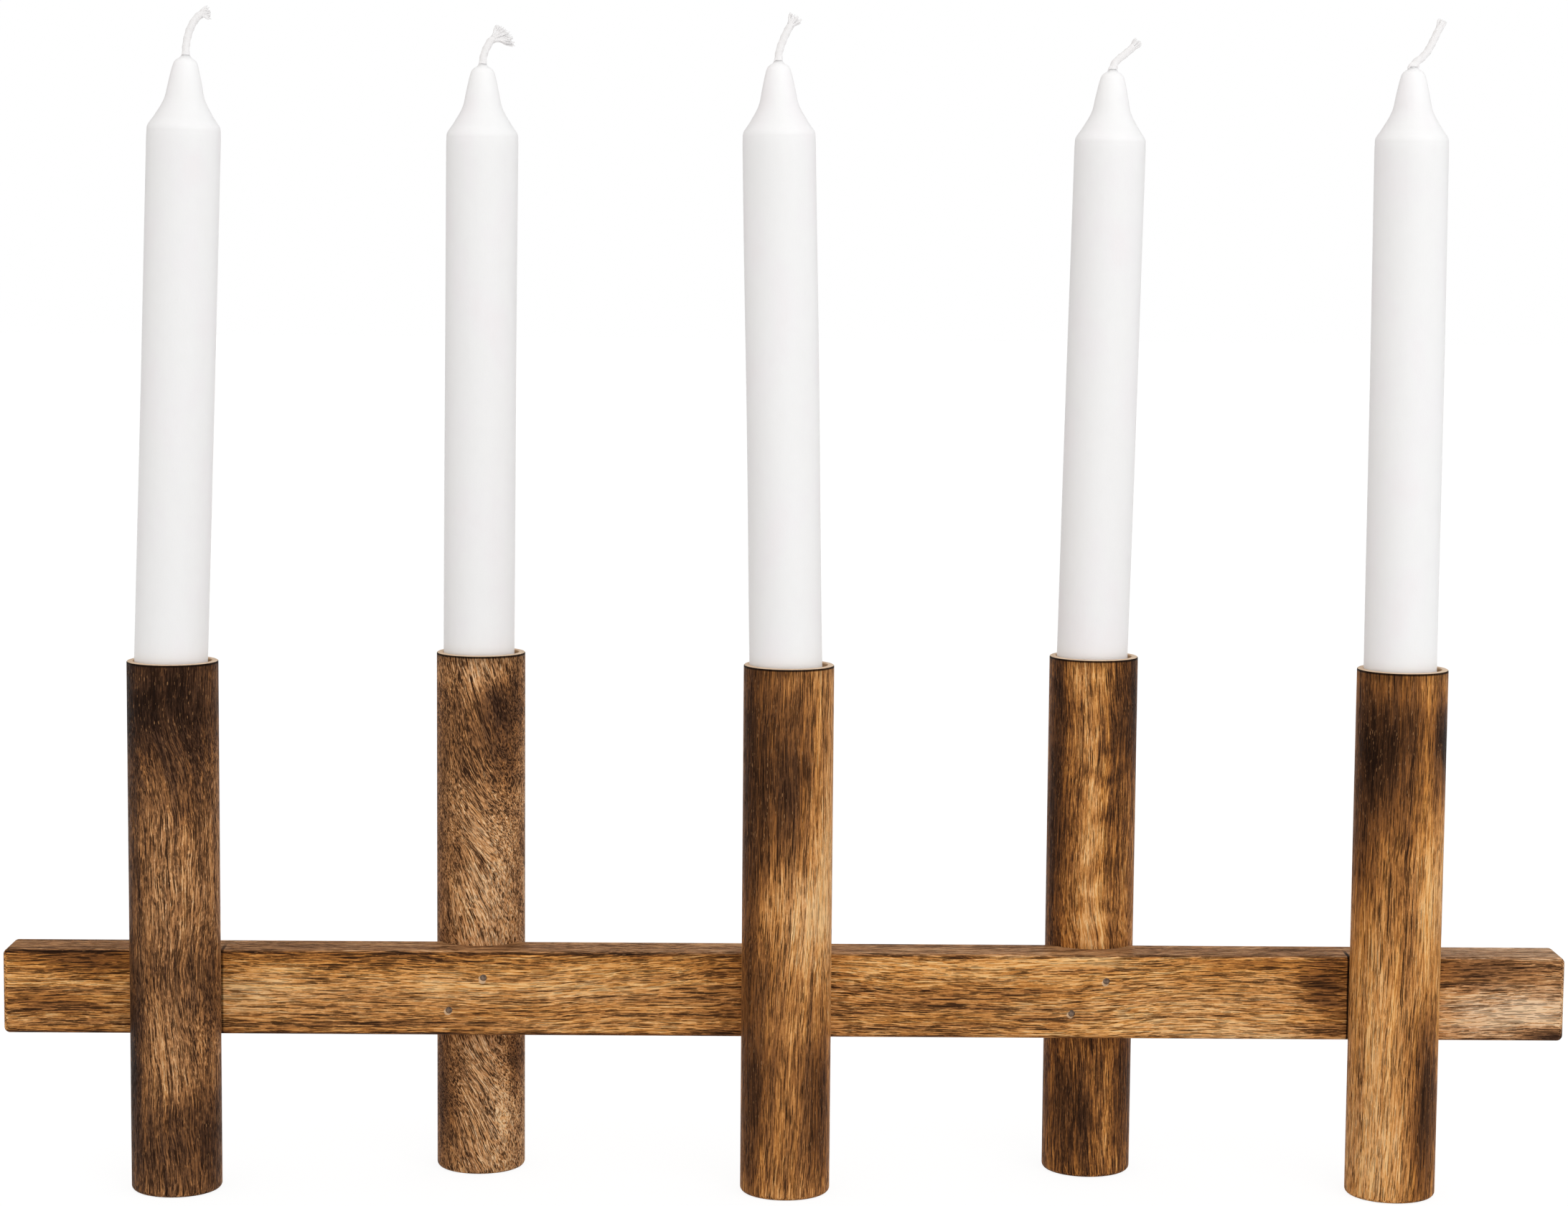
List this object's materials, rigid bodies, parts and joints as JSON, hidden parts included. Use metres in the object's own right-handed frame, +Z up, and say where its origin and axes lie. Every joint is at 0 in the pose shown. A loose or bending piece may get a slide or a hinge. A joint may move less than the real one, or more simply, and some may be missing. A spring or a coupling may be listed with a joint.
{
  "type": "advent candle holder",
  "caption": "Wooden advent candle holder: round posts housed in turn in front of and behind a cross bar, each with a socket and a white candle.",
  "frame": {"origin": "on the floor under the middle of the cross bar, halfway between the two rows of posts", "axes": "+X along the cross bar to the right seen from the front, +Y from the front to the back, +Z up"},
  "size_m": [0.4814, 0.0566, 0.359],
  "materials": {
    "bar_wood": "stained and scorched open-pored hardwood under a satin lacquer",
    "post_wood": "stained and scorched open-pored hardwood under a satin lacquer",
    "candle_wax": "smooth satin white candle wax",
    "wick_cotton": "braided white cotton, frayed at the free end",
    "brad_steel": "plain steel wire brads, set below the surface"
  },
  "bodies": {
    "holder": {"crossbar": "bar_wood", "post_1": "post_wood", "post_2": "post_wood", "post_3": "post_wood", "post_4": "post_wood", "post_5": "post_wood", "brads_1": "brad_steel", "brads_2": "brad_steel", "brads_3": "brad_steel", "brads_4": "brad_steel", "brads_5": "brad_steel"},
    "candle_body_1": {"candle_1": "candle_wax", "wick_1": "wick_cotton"},
    "candle_body_2": {"candle_2": "candle_wax", "wick_2": "wick_cotton"},
    "candle_body_3": {"candle_3": "candle_wax", "wick_3": "wick_cotton"},
    "candle_body_4": {"candle_4": "candle_wax", "wick_4": "wick_cotton"},
    "candle_body_5": {"candle_5": "candle_wax", "wick_5": "wick_cotton"}
  },
  "joints": [
    {"name": "candle_1_lift", "type": "slide", "parent": "holder", "child": "candle_body_1", "axis": [0.033, 0, 0.9995], "range_m": [0, 0.04]},
    {"name": "candle_2_lift", "type": "slide", "parent": "holder", "child": "candle_body_2", "axis": [0.0066, 0, 1], "range_m": [0, 0.04]},
    {"name": "candle_3_lift", "type": "slide", "parent": "holder", "child": "candle_body_3", "axis": [-0.021, 0, 0.9998], "range_m": [0, 0.04]},
    {"name": "candle_4_lift", "type": "slide", "parent": "holder", "child": "candle_body_4", "axis": [0.018, 0, 0.9998], "range_m": [0, 0.04]},
    {"name": "candle_5_lift", "type": "slide", "parent": "holder", "child": "candle_body_5", "axis": [-0.0042, 0, 1], "range_m": [0, 0.04]}
  ]
}
